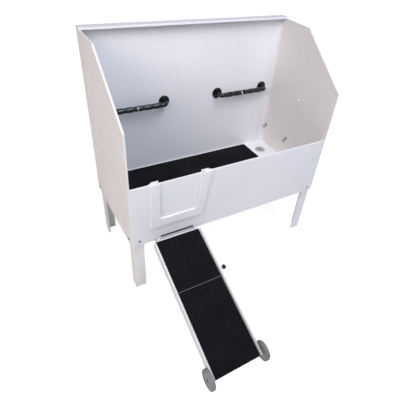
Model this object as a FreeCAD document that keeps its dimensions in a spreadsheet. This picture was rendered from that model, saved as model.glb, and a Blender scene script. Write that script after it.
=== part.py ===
"""Free-standing pet bathtub of welded plastic sheet, with a lift-out gate and a folding wheeled ramp.

Millimetres, +Z up.  The row frame has its origin on the ground at the middle of the whole object's
footprint.  Sub-parts are drawn in tub coordinates: x from the left end, y from the front face, z
from the ground; TO_ROW_FRAME moves them.  Ramp parts are drawn in ramp coordinates: x from the
ramp's centre line, y up the slope from the ramp's head, z square to its walking surface.
"""
import FreeCAD, Part
import math
import os
import Sketcher
from FreeCAD import Placement, Rotation, Vector

DRIVING = {
    # tub shell
    "tub_length": 1460,
    "tub_depth": 688,
    "overall_height": 1500,
    "wall_sheet": 12,
    "front_height": 830,
    "front_skirt": 401,
    "side_skirt": 400,
    "floor_height": 490,
    "floor_sheet": 12,
    "lip_depth": 66,
    "hood_corner_depth": 390,
    "hood_corner_height": 1482,
    "hood_front_height": 1172,
    "corner_round": 5,
    "edge_round": 1.5,
    "cove_corner": 22,
    "cove_floor": 8,
    # bearers under the floor
    "bearer_height": 60,
    "bearer_first": 520,
    "bearer_pitch": 340,
    # legs and their bolts
    "leg_face": 70,
    "leg_sheet": 10,
    "bolt_inset": 50,
    "bolt_rise": 35,
    "bolt_radius": 4,
    "bolt_head_radius": 7,
    "bolt_head_height": 4,
    "bolt_hole_clearance": 0.2,
    "nut_radius": 7.5,
    "nut_height": 6.5,
    # slot above the ramp in the front panel
    "slot_left": 190,
    "slot_length": 229,
    "slot_bottom": 410,
    "slot_height": 17,
    # gate opening and its frame
    "opening_left": 187,
    "opening_top_width": 279,
    "opening_bottom": 576,
    "opening_slant": 0.17,
    "rail_width": 62,
    "rail_proud": 12,
    "rail_rise": 5,
    "rail_bevel": 3,
    "keeper_width": 45,
    "keeper_sheet": 12,
    "channel_lap": 11,
    "gate_sheet": 9,
    "gate_clearance": 1,
    "seat_gap": 0.3,
    "seal_width": 8,
    "frame_screw_inset": 30,
    "screw_radius": 2.5,
    "screw_head_radius": 5,
    "screw_head_height": 2.5,
    # floor mat
    "mat_sheet": 5,
    "mat_length": 1236,
    "mat_margin": 10,
    "mat_round": 12,
    # grab bars and tether rings
    "bar_height": 991,
    "bar_offset": 417,
    "bar_span": 406,
    "bar_standoff": 57,
    "bar_radius": 16,
    "bar_bend": 26,
    "grip_swell": 2.8,
    "grip_pitch": 64,
    "flange_radius": 39.5,
    "flange_sheet": 6,
    "flange_round": 3,
    "flange_screw_circle": 29,
    "ring_inner_radius": 27,
    "ring_wire": 2.8,
    "ring_gap": 0.3,
    "left_ring_offset": -15,
    "right_ring_offset": -28,
    # hose hooks on the right wall
    "hook_height": 658,
    "front_hook_depth": 378,
    "rear_hook_from_back": 46,
    "hook_plate_radius": 11,
    "hook_plate_sheet": 3,
    "hook_wire": 3,
    "hook_drop": 12,
    "hook_reach": 12,
    "hook_tip": 10,
    "hook_screw_spacing": 15,
    "hook_screw_radius": 1.6,
    "hook_screw_head_radius": 3,
    # hose hole in the right wall
    "hose_hole_depth": 345,
    "hose_hole_height": 994,
    "hose_hole_radius": 11.5,
    # drain
    "drain_from_right": 120,
    "drain_from_back": 147,
    "drain_flange_radius": 42,
    "drain_flange_sheet": 2.5,
    "drain_cup_radius": 30,
    "drain_cup_wall": 2.5,
    "drain_cup_depth": 55,
    "drain_fit": 0.5,
    "drain_gasket_sheet": 4,
    "locknut_radius": 44,
    "locknut_height": 10,
    "tailpiece_radius": 20,
    "tailpiece_wall": 2.5,
    "tailpiece_length": 120,
    "strainer_sheet": 2,
    "strainer_depth": 14,
    "strainer_hole_radius": 2.5,
    "strainer_hole_circle": 15,
    # ramp
    "ramp_centre": 302,
    "ramp_top_height": 388,
    "ramp_inner_width": 306,
    "ramp_board": 12,
    "board_above": 16,
    "board_below": 34,
    "board_start": 12,
    "board_round": 8,
    "deck_sheet": 12,
    "deck_start": -5,
    "tongue_start": -18,
    "tongue_width": 224,
    "ramp_mat_sheet": 3,
    "ramp_mat_start": 6,
    "ramp_mat_margin": 1,
    "upper_length": 356,
    "seam_gap": 1.5,
    "ramp_length": 868,
    "trim_width": 2,
    "trim_height": 1,
    # ramp head hinge
    "head_axis_run": 25,
    "head_axis_drop": 20,
    "head_pin_radius": 6,
    "pin_fit": 0.05,
    "lug_radius": 13,
    "lug_sheet": 4,
    "lug_offset": 134,
    "lug_length": 45,
    "lug_leaf_width": 26,
    "lug_leaf_sheet": 3,
    "bracket_gap": 2,
    "bracket_wing": 26,
    "bracket_sheet": 3,
    "bracket_below_floor": 8,
    # ramp fold hinge
    "fold_pin_radius": 3,
    "fold_knuckle_radius": 6,
    "fold_leaf_length": 45,
    "fold_leaf_sheet": 2.5,
    "fold_play": 0.3,
    # index plunger at the fold
    "plunger_run": 306,
    "plunger_drop": 8,
    "lock_plate_sheet": 3,
    "lock_plate_height": 34,
    "lock_plate_overlap": 70,
    "plunger_pin_radius": 4,
    "plunger_travel": 10,
    "plunger_body_radius": 8,
    "plunger_body_length": 13,
    "plunger_knob_radius": 16,
    "plunger_knob_length": 22,
    # wheels
    "wheel_radius": 61,
    "wheel_width": 24,
    "wheel_gap": 3,
    "axle_run": 848,
    "axle_drop": 4,
    "axle_radius": 5,
    "axle_collar_radius": 11,
    "axle_depth": 10,
    "axle_cap_radius": 9,
    "axle_cap_height": 2,
    "tyre_depth": 13,
    "tyre_round": 5,
    "hub_web": 14,
    "hub_boss_radius": 14,
    "hub_boss_width": 22,
    "running_gap": 0.3,
}


def derived(size):
    """Sizes that follow from the driving ones."""
    drop = size["ramp_top_height"] - size["wheel_radius"]
    reach = math.hypot(size["axle_run"], size["axle_drop"])
    slope = math.asin(drop / reach) - math.atan2(size["axle_drop"], size["axle_run"])
    axle_forward = size["axle_run"] * math.cos(slope) - size["axle_drop"] * math.sin(slope)
    forward = axle_forward + size["wheel_radius"]
    back = size["tub_depth"] + size["bolt_head_height"]
    return {
        "ramp_slope": math.degrees(slope),
        "front_y": (forward - back) / 2,
    }


doc = FreeCAD.newDocument("pet_bathtub")
dims = doc.addObject("Spreadsheet::Sheet", "dims")
VALUES = dict(DRIVING)
VALUES.update(derived(DRIVING))
for row, (alias, number) in enumerate(VALUES.items(), start=1):
    dims.set(f"A{row}", alias)
    dims.set(f"B{row}", repr(number))
    dims.setAlias(f"B{row}", alias)
doc.recompute()


def size(alias):
    """A sheet value, for the shapes that are worked out in code."""
    return float(dims.get(alias))


# Expressions used in many places, in tub coordinates
INNER_LENGTH = "dims.tub_length - 2 * dims.wall_sheet"
INNER_DEPTH = "dims.tub_depth - 2 * dims.wall_sheet"
BACK_INNER = "dims.tub_depth - dims.wall_sheet"
RIGHT_INNER = "dims.tub_length - dims.wall_sheet"
HOOD_TOP = "dims.overall_height - dims.wall_sheet"
FLOOR_UNDER = "dims.floor_height - dims.floor_sheet"
SLANT_STRETCH = "sqrt(1 + dims.opening_slant ^ 2)"
BOLT_HEIGHT = "dims.side_skirt + dims.bolt_rise"

BEARERS = 3
FLANGE_SCREW_ANGLES = (90, 210, 330)

ALONG = {
    "x": Rotation(Vector(0, 1, 0), 90),
    "y": Rotation(Vector(1, 0, 0), -90),
    "z": Rotation(),
}


def to_row_frame(item, x="0", y="0", z="0"):
    """Carries an item from tub coordinates into the row frame."""
    item.setExpression("Placement.Base.x", f"{x} - dims.tub_length / 2")
    item.setExpression("Placement.Base.y", f"{y} + dims.front_y")
    item.setExpression("Placement.Base.z", z)
    return item


def to_ramp_frame(item):
    """Carries an item from ramp coordinates into the row frame."""
    item.Placement = Placement(Vector(), Rotation(Vector(1, 0, 0), 1))
    item.setExpression("Placement.Rotation.Angle", "dims.ramp_slope")
    return to_row_frame(item, "dims.ramp_centre", "0", "dims.ramp_top_height")


def body(label):
    item = doc.addObject("PartDesign::Body", label)
    item.Label = label
    return item


def block(owner, name, low, lengths, kind="Additive"):
    """A box feature from its low corner and its three lengths."""
    feature = owner.newObject(f"PartDesign::{kind}Box", name)
    for prop, value in zip(("Length", "Width", "Height"), lengths):
        feature.setExpression(prop, str(value))
    for axis, value in zip("xyz", low):
        feature.setExpression(f"Placement.Base.{axis}", str(value))
    return feature


def rod(owner, name, start, axis, radius, length, kind="Additive"):
    """A cylinder feature from the centre of its first face, running along +axis."""
    feature = owner.newObject(f"PartDesign::{kind}Cylinder", name)
    feature.Placement = Placement(Vector(), ALONG[axis])
    feature.setExpression("Radius", str(radius))
    feature.setExpression("Height", str(length))
    for direction, value in zip("xyz", start):
        feature.setExpression(f"Placement.Base.{direction}", str(value))
    return feature


def outline(owner, name, role, corners, rise="0"):
    """A closed sketch on an origin plane, each corner held from the origin by two expressions."""
    plane = next(item for item in owner.Origin.OriginFeatures if item.Role == role)
    sketch = owner.newObject("Sketcher::SketchObject", name)
    sketch.AttachmentSupport = [(plane, "")]
    sketch.MapMode = "FlatFace"
    sketch.setExpression("AttachmentOffset.Base.z", rise)
    count = len(corners)
    start = [Vector(math.cos(2 * math.pi * i / count), math.sin(2 * math.pi * i / count)) * 200
             for i in range(count)]
    for index in range(count):
        sketch.addGeometry(Part.LineSegment(start[index], start[(index + 1) % count]))
    for index in range(count):
        sketch.addConstraint(Sketcher.Constraint("Coincident", index, 2, (index + 1) % count, 1))
    for index, corner in enumerate(corners):
        for kind, value, now in zip(("DistanceX", "DistanceY"), corner, start[index]):
            number = sketch.addConstraint(Sketcher.Constraint(kind, -1, 1, index, 1, now))
            sketch.setExpression(f"Constraints[{number}]", str(value))
    return sketch


def pad(owner, name, sketch, length, reversed_way=False):
    feature = owner.newObject("PartDesign::Pad", name)
    feature.Profile = sketch
    feature.Reversed = reversed_way
    feature.setExpression("Length", str(length))
    return feature


def pocket(owner, name, sketch, length, reversed_way=False):
    feature = owner.newObject("PartDesign::Pocket", name)
    feature.Profile = sketch
    feature.Reversed = reversed_way
    feature.setExpression("Length", str(length))
    return feature


def dress(owner, name, kind, amount, test):
    """A fillet or chamfer on the edges whose midpoint and bounding box pass the test."""
    doc.recompute()
    base = owner.Tip
    names = [f"Edge{index}" for index, edge in enumerate(base.Shape.Edges, start=1)
             if test(edge.BoundBox)]
    feature = owner.newObject(f"PartDesign::{kind}", name)
    feature.Base = (base, names)
    feature.setExpression("Radius" if kind == "Fillet" else "Size", amount)
    return feature


def near(left, right):
    return abs(left - right) < 0.01


def made(label, shape):
    """A sub-part whose shape is worked out in code from the sheet."""
    item = doc.addObject("Part::Feature", label)
    item.Label = label
    item.Shape = shape
    return item


# ---------------------------------------------------------------- tub shell

def front_panel():
    item = body("front_panel")
    block(item, "front_sheet", ("0", "0", "dims.front_skirt"),
          ("dims.tub_length", "dims.wall_sheet", "dims.front_height - dims.front_skirt"))
    dress(item, "front_corners", "Fillet", "dims.corner_round",
          lambda box: box.ZLength > 1 and near(box.YMax, 0))
    dress(item, "front_top_edge", "Fillet", "dims.edge_round",
          lambda box: near(box.ZMin, size("front_height")) and box.XLength > 20)
    block(item, "slot", ("dims.slot_left", "-1", "dims.slot_bottom"),
          ("dims.slot_length", "dims.wall_sheet + 2", "dims.slot_height"), "Subtractive")
    corners = opening_corners("dims.channel_lap", "dims.front_height + 1")
    sketch = outline(item, "gate_cut_outline", "XZ_Plane", corners)
    pocket(item, "gate_cut", sketch, "dims.wall_sheet")
    for x in ("dims.bolt_inset", "dims.tub_length - dims.bolt_inset"):
        rod(item, "bolt_hole", (x, "0", BOLT_HEIGHT), "y",
            "dims.bolt_radius + dims.bolt_hole_clearance", "dims.wall_sheet", "Subtractive")
    for index, (x, z) in enumerate(frame_screw_points()):
        rod(item, f"frame_screw_hole_{index}", (x, "0", z), "y",
            "dims.screw_radius", "dims.wall_sheet", "Subtractive")
    return to_row_frame(item)


def opening_right(z, offset="0"):
    """The opening's slanting right edge at height z, moved outward by an offset."""
    top = "dims.opening_left + dims.opening_top_width"
    return (f"{top} - dims.opening_slant * (dims.front_height - ({z}))"
            f" + ({offset}) * {SLANT_STRETCH}")


def opening_corners(offset, top):
    """Corners of the opening widened by an offset, from its bottom left, up to a top height."""
    left = f"dims.opening_left - ({offset})"
    bottom = f"dims.opening_bottom - ({offset})"
    return [(left, bottom), (opening_right(bottom, offset), bottom),
            (opening_right(top, offset), top), (left, top)]


def frame_corners(inner, outer, top, corner_cut=None):
    """A U round the opening, between two offsets from its edge."""
    inside = opening_corners(inner, top)
    outside = opening_corners(outer, top)
    lower_right = [outside[1]]
    if corner_cut:
        bottom = outside[1][1]
        lower_right = [(f"{outside[1][0]} - {corner_cut}", bottom),
                       (opening_right(f"{bottom} + {corner_cut}", outer), f"{bottom} + {corner_cut}")]
    return ([outside[3], outside[0]] + lower_right + [outside[2]]
            + [inside[2], inside[1], inside[0], inside[3]])


def frame_screw_points():
    """Screws of the gate frame: two in each side rail and two in the sill."""
    left = "dims.opening_left - dims.frame_screw_inset"
    sill = "dims.opening_bottom - dims.frame_screw_inset"
    points = []
    for z in ("dims.opening_bottom + 40", "dims.front_height - 40"):
        points.append((left, z))
        points.append((opening_right(z, "dims.frame_screw_inset"), z))
    for x in ("dims.opening_left + 60", "dims.opening_left + 180"):
        points.append((x, sill))
    return points


def side_panel(label, x, hose_hole):
    item = body(label)
    corners = [
        ("dims.wall_sheet", "dims.side_skirt"),
        (BACK_INNER, "dims.side_skirt"),
        (BACK_INNER, HOOD_TOP),
        ("dims.hood_corner_depth", "dims.hood_corner_height"),
        ("0", "dims.hood_front_height"),
        ("0", "dims.front_height"),
        ("dims.wall_sheet", "dims.front_height"),
    ]
    sketch = outline(item, f"{label}_outline", "YZ_Plane", corners, x)
    pad(item, f"{label}_sheet", sketch, "dims.wall_sheet")
    front = size("front_height")
    back = size("tub_depth") - size("wall_sheet")
    dress(item, f"{label}_edges", "Fillet", "dims.edge_round",
          lambda box: (box.ZMax > front + 5 and box.XLength < 0.01
                       and not (near(box.YMin, back) and near(box.YMax, back))))
    for y in ("dims.bolt_inset", "dims.tub_depth - dims.bolt_inset"):
        rod(item, f"{label}_bolt_hole", (x, y, BOLT_HEIGHT), "x",
            "dims.bolt_radius + dims.bolt_hole_clearance", "dims.wall_sheet", "Subtractive")
    if hose_hole:
        rod(item, "hose_hole", (x, "dims.hose_hole_depth", "dims.hose_hole_height"), "x",
            "dims.hose_hole_radius", "dims.wall_sheet", "Subtractive")
        for index, (y, z) in enumerate(hook_screw_points()):
            rod(item, f"hook_screw_hole_{index}", (x, y, z), "x",
                "dims.hook_screw_radius", "dims.wall_sheet - 2", "Subtractive")
    return to_row_frame(item)


def back_panel():
    item = body("back_panel")
    corners = [
        (BACK_INNER, "dims.side_skirt"),
        ("dims.tub_depth", "dims.side_skirt"),
        ("dims.tub_depth", "dims.overall_height"),
        ("dims.tub_depth - dims.lip_depth", "dims.overall_height"),
        ("dims.tub_depth - dims.lip_depth", HOOD_TOP),
        (BACK_INNER, HOOD_TOP),
    ]
    sketch = outline(item, "back_outline", "YZ_Plane", corners)
    pad(item, "back_sheet", sketch, "dims.tub_length")
    top = size("overall_height")
    dress(item, "lip_edges", "Fillet", "dims.edge_round",
          lambda box: near(box.ZMin, top) and near(box.ZMax, top))
    for x in ("dims.bolt_inset", "dims.tub_length - dims.bolt_inset"):
        rod(item, "bolt_hole", (x, BACK_INNER, BOLT_HEIGHT), "y",
            "dims.bolt_radius + dims.bolt_hole_clearance", "dims.wall_sheet", "Subtractive")
    for index, (x, z) in enumerate(flange_screw_points()):
        rod(item, f"flange_screw_hole_{index}", (x, BACK_INNER, z), "y",
            "dims.screw_radius", "dims.wall_sheet - 2", "Subtractive")
    return to_row_frame(item)


def floor_pan():
    item = body("floor_pan")
    block(item, "floor_sheet_block", ("dims.wall_sheet", "dims.wall_sheet", FLOOR_UNDER),
          (INNER_LENGTH, INNER_DEPTH, "dims.floor_sheet"))
    rod(item, "drain_hole", ("dims.tub_length - dims.drain_from_right",
                             "dims.tub_depth - dims.drain_from_back", FLOOR_UNDER), "z",
        "dims.drain_cup_radius + dims.drain_fit", "dims.floor_sheet", "Subtractive")
    return to_row_frame(item)


def floor_bearers():
    """Upright bearers that carry the floor between the front and back panels."""
    bearers = []
    for index in range(BEARERS):
        bearer = doc.addObject("Part::Box", f"bearer_{index}")
        bearer.setExpression("Length", "dims.wall_sheet")
        bearer.setExpression("Width", INNER_DEPTH)
        bearer.setExpression("Height", "dims.bearer_height")
        to_row_frame(bearer, f"dims.bearer_first + {index} * dims.bearer_pitch",
                     "dims.wall_sheet", f"{FLOOR_UNDER} - dims.bearer_height")
        bearers.append(bearer)
    return group("floor_bearers", bearers)


def group(label, items):
    joined = doc.addObject("Part::Compound", label)
    joined.Label = label
    joined.Links = items
    return joined


def basin_coves():
    """Weld coves round the basin floor and up its inner corners: a block less a rounded core."""
    low = Vector(size("wall_sheet"), size("wall_sheet"), size("floor_height"))
    length = size("tub_length") - 2 * size("wall_sheet")
    depth = size("tub_depth") - 2 * size("wall_sheet")
    tall = size("overall_height") - size("wall_sheet") - size("floor_height")
    full = Part.makeBox(length, depth, tall, low)
    core = Part.makeBox(length, depth, tall + size("cove_corner"), low)
    upright = [edge for edge in core.Edges if edge.BoundBox.ZLength > 1]
    core = core.makeFillet(size("cove_corner"), upright)
    foot = [edge for edge in core.Edges if near(edge.BoundBox.ZMax, low.z)]
    core = core.makeFillet(size("cove_floor"), foot)
    above_front = Part.makeBox(length, depth / 2, tall, low + Vector(
        0, 0, size("front_height") - size("floor_height") - size("edge_round")))
    return to_row_frame(made("basin_coves", full.cut(core).cut(above_front)))


# ---------------------------------------------------------------- legs

def leg(label, at_right, at_back):
    """An angle-section leg in a corner of the skirt, from the ground to the floor's underside."""
    def across(value):
        return f"dims.tub_length - ({value})" if at_right else value

    def along(value):
        return f"dims.tub_depth - ({value})" if at_back else value

    near_wall = "dims.wall_sheet"
    inner = "dims.wall_sheet + dims.leg_sheet"
    far = "dims.wall_sheet + dims.leg_face"
    corners = [(near_wall, near_wall), (far, near_wall), (far, inner), (inner, inner),
               (inner, far), (near_wall, far)]
    item = body(label)
    sketch = outline(item, f"{label}_section", "XY_Plane",
                     [(across(x), along(y)) for x, y in corners])
    pad(item, f"{label}_post", sketch, FLOOR_UNDER)
    hole = "dims.bolt_radius + dims.bolt_hole_clearance"
    rod(item, f"{label}_end_hole", (across("dims.bolt_inset"), along(inner) if at_back else near_wall,
                                    BOLT_HEIGHT), "y", hole, "dims.leg_sheet", "Subtractive")
    rod(item, f"{label}_side_hole", (across(inner) if at_right else near_wall,
                                     along("dims.bolt_inset"), BOLT_HEIGHT), "x", hole,
        "dims.leg_sheet", "Subtractive")
    return to_row_frame(item)


def leg_bolt_places():
    """Head seat and inward direction of each leg bolt, in tub coordinates."""
    inset = size("bolt_inset")
    length, depth = size("tub_length"), size("tub_depth")
    height = size("side_skirt") + size("bolt_rise")
    places = []
    for x in (inset, length - inset):
        places.append((Vector(x, 0, height), Vector(0, 1, 0)))
        places.append((Vector(x, depth, height), Vector(0, -1, 0)))
    for y in (inset, depth - inset):
        places.append((Vector(0, y, height), Vector(1, 0, 0)))
        places.append((Vector(length, y, height), Vector(-1, 0, 0)))
    return places


def domed_screw(seat, inward, head_radius, head_height, shank_radius, shank_length):
    """A screw with a domed head outside its seat and a plain shank inside."""
    head = Part.makeCylinder(head_radius, head_height, seat, -inward)
    rim = [edge for edge in head.Edges
           if len(edge.Vertexes) == 1 and (edge.CenterOfMass - seat).Length > head_height / 2]
    head = head.makeFillet(head_height * 0.7, rim)
    return head.fuse(Part.makeCylinder(shank_radius, shank_length, seat, inward)).removeSplitter()


def leg_bolts():
    grip = size("wall_sheet") + size("leg_sheet") + size("nut_height")
    solids = [domed_screw(seat, inward, size("bolt_head_radius"), size("bolt_head_height"),
                          size("bolt_radius"), grip) for seat, inward in leg_bolt_places()]
    return to_row_frame(made("leg_bolts", Part.makeCompound(solids)))


def hexagon(centre, axis, radius, height):
    across = axis.cross(Vector(0, 0, 1)) if abs(axis.z) < 0.5 else Vector(1, 0, 0)
    upright = axis.cross(across)
    corners = [centre + across * radius * math.cos(math.pi * i / 3)
               + upright * radius * math.sin(math.pi * i / 3) for i in range(7)]
    return Part.Face(Part.makePolygon(corners)).extrude(axis * height)


def leg_nuts():
    solids = []
    depth = size("wall_sheet") + size("leg_sheet")
    for seat, inward in leg_bolt_places():
        face = seat + inward * depth
        nut = hexagon(face, inward, size("nut_radius"), size("nut_height"))
        bore = Part.makeCylinder(size("bolt_radius") + size("pin_fit"), size("nut_height"), face, inward)
        solids.append(nut.cut(bore))
    return to_row_frame(made("leg_nuts", Part.makeCompound(solids)))


# ---------------------------------------------------------------- gate

def frame_piece(label, inner, outer, start, thickness, top, corner_cut=None):
    item = body(label)
    sketch = outline(item, f"{label}_outline", "XZ_Plane",
                     frame_corners(inner, outer, top, corner_cut), f"-({start})")
    pad(item, f"{label}_sheet", sketch, thickness, True)
    return item


def door_frame():
    item = frame_piece("door_frame", "0", "dims.rail_width", "-dims.rail_proud",
                       "dims.rail_proud", "dims.front_height + dims.rail_rise", "dims.rail_width / 3")
    front = -size("rail_proud")
    dress(item, "door_frame_bevel", "Chamfer", "dims.rail_bevel",
          lambda box: near(box.YMin, front) and near(box.YMax, front))
    for index, (x, z) in enumerate(frame_screw_points()):
        rod(item, f"frame_screw_pilot_{index}", (x, "dims.screw_radius * 2 - dims.rail_proud", z), "y",
            "dims.screw_radius", "dims.rail_proud - dims.screw_radius * 2", "Subtractive")
    return to_row_frame(item)


def door_keeper():
    item = frame_piece("door_keeper", "0", "dims.keeper_width", "dims.wall_sheet",
                       "dims.keeper_sheet", "dims.front_height + dims.rail_rise")
    back = size("wall_sheet") + size("keeper_sheet")
    dress(item, "door_keeper_edges", "Fillet", "dims.edge_round",
          lambda box: near(box.YMin, back) and near(box.YMax, back))
    for index, (x, z) in enumerate(frame_screw_points()):
        rod(item, f"keeper_screw_hole_{index}", (x, "dims.wall_sheet", z), "y",
            "dims.screw_radius", "dims.keeper_sheet", "Subtractive")
    return to_row_frame(item)


def door_rail_caps():
    """Bridges over the panel's top edge that tie the frame to the keeper at both rails."""
    top = "dims.front_height"
    right = opening_right(top, "dims.channel_lap")
    spans = [
        ("dims.opening_left - dims.rail_width", "dims.rail_width - dims.channel_lap - 2"),
        (f"{right} + 3", "dims.rail_width - dims.channel_lap - 5"),
    ]
    caps = []
    for index, (x, width) in enumerate(spans):
        cap = doc.addObject("Part::Box", f"cap_{index}")
        cap.setExpression("Length", width)
        cap.setExpression("Width", "dims.wall_sheet")
        cap.setExpression("Height", "dims.rail_rise")
        to_row_frame(cap, x, "0", top)
        caps.append(cap)
    return group("door_rail_caps", caps)


def door_seal():
    thickness = "dims.wall_sheet - dims.gate_clearance - dims.gate_sheet - dims.seat_gap"
    item = frame_piece("door_seal", "1", "1 + dims.seal_width", f"dims.wall_sheet - ({thickness})",
                       thickness, "dims.front_height")
    return to_row_frame(item)


def door_gate():
    item = body("door_gate")
    corners = opening_corners("dims.channel_lap - dims.gate_clearance", "dims.front_height")
    low = "dims.opening_bottom - dims.channel_lap + dims.seat_gap"
    corners[0] = (corners[0][0], low)
    corners[1] = (opening_right(low, "dims.channel_lap - dims.gate_clearance"), low)
    sketch = outline(item, "gate_outline", "XZ_Plane", corners, "-dims.gate_clearance")
    pad(item, "gate_sheet_pad", sketch, "dims.gate_sheet", True)
    top = size("front_height")
    dress(item, "gate_top_edge", "Fillet", "dims.edge_round",
          lambda box: near(box.ZMin, top) and box.XLength > 20)
    return to_row_frame(item)


def door_frame_screws():
    """Screws driven from inside the basin through keeper and panel into the outer frame."""
    solids = []
    seat_y = size("wall_sheet") + size("keeper_sheet")
    bite = seat_y + size("rail_proud") - 2 * size("screw_radius")
    left = size("opening_left")
    inset = size("frame_screw_inset")
    slant = size("opening_slant")
    right = left + size("opening_top_width") + inset * math.hypot(1, slant)
    places = []
    for z in (size("opening_bottom") + 40, size("front_height") - 40):
        places.append((left - inset, z))
        places.append((right - slant * (size("front_height") - z), z))
    for x in (left + 60, left + 180):
        places.append((x, size("opening_bottom") - inset))
    for x, z in places:
        solids.append(domed_screw(Vector(x, seat_y, z), Vector(0, -1, 0), size("screw_head_radius"),
                                  size("screw_head_height"), size("screw_radius"), bite))
    return to_row_frame(made("door_frame_screws", Part.makeCompound(solids)))


# ---------------------------------------------------------------- mat, bars, rings

def floor_mat():
    item = body("floor_mat")
    block(item, "mat_block", ("dims.wall_sheet + dims.mat_margin", "dims.wall_sheet + dims.mat_margin",
                              "dims.floor_height"),
          ("dims.mat_length", f"{INNER_DEPTH} - 2 * dims.mat_margin", "dims.mat_sheet"))
    dress(item, "mat_corners", "Fillet", "dims.mat_round",
          lambda box: box.ZLength > 1 and box.XLength < 1 and box.YLength < 1)
    return to_row_frame(item)


def bar_centre(side):
    """Middle of a grab bar on the back wall's inner face, in tub coordinates."""
    return Vector(size("tub_length") / 2 + side * size("bar_offset"),
                  size("tub_depth") - size("wall_sheet"), size("bar_height"))


def grab_bar(label, side):
    """A tube that leaves the wall, turns along it with swelling grips, and turns back."""
    centre = bar_centre(side)
    half = size("bar_span") / 2
    bend = size("bar_bend")
    radius = size("bar_radius")
    out = size("bar_standoff")
    solids = []
    for hand in (-1, 1):
        foot = centre + Vector(hand * half, -size("flange_sheet"), 0)
        stub = out - bend - size("flange_sheet")
        solids.append(Part.makeCylinder(radius, stub, foot, Vector(0, -1, 0)))
        knee = foot + Vector(0, -stub, 0)
        section = Part.Face(Part.Wire(Part.makeCircle(radius, knee, Vector(0, 1, 0))))
        pivot = knee + Vector(-hand * bend, 0, 0)
        solids.append(section.revolve(pivot, Vector(0, 0, -hand), 90))
    straight = 2 * (half - bend)
    pitch = size("grip_pitch")
    grips = int(straight // pitch)
    axis = centre + Vector(-straight / 2, -out, 0)
    plain = (straight - grips * pitch) / 2
    rim = axis + Vector(0, 0, radius)
    profile = [Part.LineSegment(rim, rim + Vector(plain, 0, 0)).toShape()]
    for index in range(grips):
        begin = rim + Vector(plain + index * pitch, 0, 0)
        crest = begin + Vector(pitch / 2, 0, size("grip_swell"))
        profile.append(Part.Arc(begin, crest, begin + Vector(pitch, 0, 0)).toShape())
    far = axis + Vector(straight, 0, 0)
    far_rim = far + Vector(0, 0, radius)
    profile.append(Part.LineSegment(far_rim - Vector(plain, 0, 0), far_rim).toShape())
    profile.append(Part.LineSegment(far_rim, far).toShape())
    profile.append(Part.LineSegment(far, axis).toShape())
    profile.append(Part.LineSegment(axis, rim).toShape())
    grip = Part.Face(Part.Wire(profile)).revolve(axis, Vector(1, 0, 0), 360)
    tube = grip.multiFuse(solids).removeSplitter()
    return to_row_frame(made(label, tube))


def bar_flanges(label, side):
    centre = bar_centre(side)
    solids = []
    for hand in (-1, 1):
        seat = centre + Vector(hand * size("bar_span") / 2, 0, 0)
        disc = Part.makeCylinder(size("flange_radius"), size("flange_sheet"), seat, Vector(0, -1, 0))
        rim = [edge for edge in disc.Edges if near(edge.BoundBox.YMax, seat.y - size("flange_sheet"))]
        disc = disc.makeFillet(size("flange_round"), rim)
        for x, z in flange_circle(seat):
            disc = disc.cut(Part.makeCylinder(size("screw_radius"), size("flange_sheet"),
                                              Vector(x, seat.y, z), Vector(0, -1, 0)))
        solids.append(disc)
    return to_row_frame(made(label, Part.makeCompound(solids)))


def flange_circle(seat):
    """The three screw places round one flange."""
    places = []
    for angle in FLANGE_SCREW_ANGLES:
        turn = math.radians(angle)
        places.append((seat.x + size("flange_screw_circle") * math.cos(turn),
                       seat.z + size("flange_screw_circle") * math.sin(turn)))
    return places


def flange_screw_points():
    """Expressions for every flange screw's place on the back wall."""
    points = []
    for side in (-1, 1):
        for hand in (-1, 1):
            x = f"dims.tub_length / 2 + {side} * dims.bar_offset + {hand} * dims.bar_span / 2"
            for angle in FLANGE_SCREW_ANGLES:
                turn = math.radians(angle)
                points.append((f"{x} + dims.flange_screw_circle * {math.cos(turn):.9f}",
                               f"dims.bar_height + dims.flange_screw_circle * {math.sin(turn):.9f}"))
    return points


def flange_screws():
    solids = []
    for side in (-1, 1):
        for hand in (-1, 1):
            seat = bar_centre(side) + Vector(hand * size("bar_span") / 2, -size("flange_sheet"), 0)
            for x, z in flange_circle(seat):
                solids.append(domed_screw(
                    Vector(x, seat.y, z), Vector(0, 1, 0), size("screw_head_radius"),
                    size("screw_head_height"), size("screw_radius"),
                    size("flange_sheet") + size("wall_sheet") - 2))
    return to_row_frame(made("flange_screws", Part.makeCompound(solids)))


def tether_ring(label, side, offset):
    """A welded wire ring hung round a grab bar at one of its swells."""
    centre = bar_centre(side) + Vector(offset, -size("bar_standoff"), 0)
    across = (offset + size("grip_pitch") / 2) % size("grip_pitch") / size("grip_pitch")
    top_of_bar = size("bar_radius") + size("grip_swell") * (1 - (2 * across - 1) ** 2)
    drop = size("ring_inner_radius") - top_of_bar - size("ring_gap")
    ring = Part.makeTorus(size("ring_inner_radius") + size("ring_wire"), size("ring_wire"),
                          centre - Vector(0, 0, drop), Vector(1, 0, 0))
    return to_row_frame(made(label, ring))


# ---------------------------------------------------------------- hose hooks

def hook_screw_points():
    """Expressions for the hook screws on the right wall."""
    points = []
    for depth in ("dims.front_hook_depth", "dims.tub_depth - dims.rear_hook_from_back"):
        for hand in (-1, 1):
            points.append((f"{depth} + {hand} * dims.hook_screw_spacing / 2", "dims.hook_height"))
    return points


def hook_depths():
    """The two hooks' distances from the tub's front face."""
    return size("front_hook_depth"), size("tub_depth") - size("rear_hook_from_back")


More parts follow.
